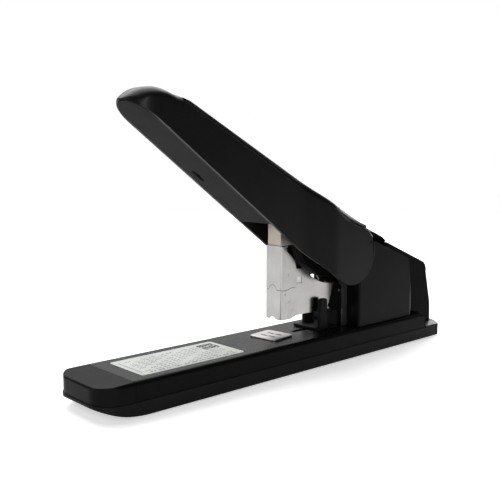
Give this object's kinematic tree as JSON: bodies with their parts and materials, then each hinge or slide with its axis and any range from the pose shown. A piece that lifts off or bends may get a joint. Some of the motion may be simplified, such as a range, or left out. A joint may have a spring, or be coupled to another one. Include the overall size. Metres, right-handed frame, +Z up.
{
  "type": "heavy-duty desk stapler",
  "caption": "Heavy-duty desk stapler with a long lever handle, steel magazine head and flat base, shown open.",
  "frame": {"origin": "on the table, under the middle of the base", "axes": "+X towards the hinge end, +Y across the base, +Z up; staples leave downwards at -X"},
  "size_m": [0.327, 0.0552, 0.1845],
  "materials": {
    "tray_plastic": "fine-grained black plastic",
    "cover_plastic": "satin black plastic",
    "nose_plastic": "satin black plastic",
    "plate_grey": "dark grey satin paint",
    "label": "pale grey printed film",
    "anvil_steel": "stamped steel",
    "feet_rubber": "soft black rubber",
    "screw_steel": "zinc-plated steel",
    "stop_plastic": "black plastic",
    "housing_plastic": "satin black plastic",
    "frame_steel": "black-coated sheet steel",
    "shaft_steel": "ground steel",
    "spring_steel": "spring wire",
    "handle_plastic": "satin black plastic",
    "panel_plastic": "satin black plastic",
    "underside_plastic": "satin dark plastic",
    "bush_nylon": "pale nylon",
    "lever_black": "black-coated steel",
    "head_steel": "nickel-plated sheet steel",
    "staples": "bright wire",
    "driver_steel": "hardened steel"
  },
  "bodies": {
    "base": {"base_tray": "tray_plastic", "chassis_plate": "frame_steel", "frame_bracket": "frame_steel", "base_cover": "cover_plastic", "nose_cap": "nose_plastic", "top_plate": "plate_grey", "capacity_label": "label", "rubber_feet": "feet_rubber", "base_screws": "screw_steel", "near_cheek": "housing_plastic", "far_cheek": "housing_plastic", "rear_spine": "housing_plastic", "housing_screws": "screw_steel", "handle_shaft": "shaft_steel", "magazine_shaft": "shaft_steel", "shaft_clips": "screw_steel", "handle_spring": "spring_steel", "magazine_spring": "spring_steel"},
    "anvil": {"anvil_plate": "anvil_steel", "anvil_retainer": "screw_steel"},
    "paper_stop": {"paper_stop": "stop_plastic", "stop_retainer": "screw_steel"},
    "handle": {"handle_shell": "handle_plastic", "handle_top_panel": "panel_plastic", "handle_underside_cover": "underside_plastic", "handle_screws": "screw_steel", "handle_bushings": "bush_nylon", "lever_arm": "lever_black", "roller_pin": "shaft_steel"},
    "roller": {"lever_roller": "shaft_steel"},
    "magazine": {"head_shell": "head_steel", "staple_guide": "head_steel", "head_frame": "head_steel", "head_rivets": "head_steel", "magazine_arms": "lever_black", "magazine_bushings": "bush_nylon", "staple_rail": "frame_steel", "staple_strip": "staples", "spring_rod": "shaft_steel", "rod_brackets": "frame_steel", "spring_seat": "driver_steel", "driver_spring": "spring_steel"},
    "driver": {"driver_blade": "driver_steel", "hammer_block": "driver_steel"},
    "pusher": {"pusher": "stop_plastic", "pusher_spring": "spring_steel"}
  },
  "joints": [
    {"name": "handle_hinge", "type": "hinge", "parent": "base", "child": "handle", "pos_m": [0.0458, 0, 0.077], "axis": [0, -1, 0], "range_deg": [0, 30], "stiffness_Nm_per_rad": 1.2, "springref_deg": -51.57},
    {"name": "magazine_hinge", "type": "hinge", "parent": "base", "child": "magazine", "pos_m": [0.136, 0, 0.036], "axis": [0, -1, 0], "range_deg": [0, 4.3], "deforming": ["magazine_spring"]},
    {"name": "driver_slide", "type": "slide", "parent": "magazine", "child": "driver", "axis": [0, 0, -1], "range_m": [0, 0.0144], "deforming": ["driver_spring"]},
    {"name": "pusher_slide", "type": "slide", "parent": "magazine", "child": "pusher", "axis": [1, 0, 0], "range_m": [0, 0.042], "stiffness_N_per_m": 60, "springref_m": -0.03, "deforming": ["pusher_spring"]},
    {"name": "roller_spin", "type": "hinge", "parent": "handle", "child": "roller", "pos_m": [0.0047, 0, 0.1017], "axis": [0, 1, 0], "continuous": true},
    {"name": "anvil_turn", "type": "hinge", "parent": "base", "child": "anvil", "pos_m": [-0.0115, 0, 0.0208], "axis": [0, 0, 1], "range_deg": [-7, 173]},
    {"name": "paper_stop_slide", "type": "slide", "parent": "base", "child": "paper_stop", "axis": [1, 0, 0], "range_m": [-0.018, 0.0045]}
  ],
  "couplings": [
    {"joint": "magazine_hinge", "follows": "handle_hinge", "ratio": 0.1415},
    {"joint": "driver_slide", "follows": "handle_hinge", "m_per_rad": 0.0271}
  ]
}
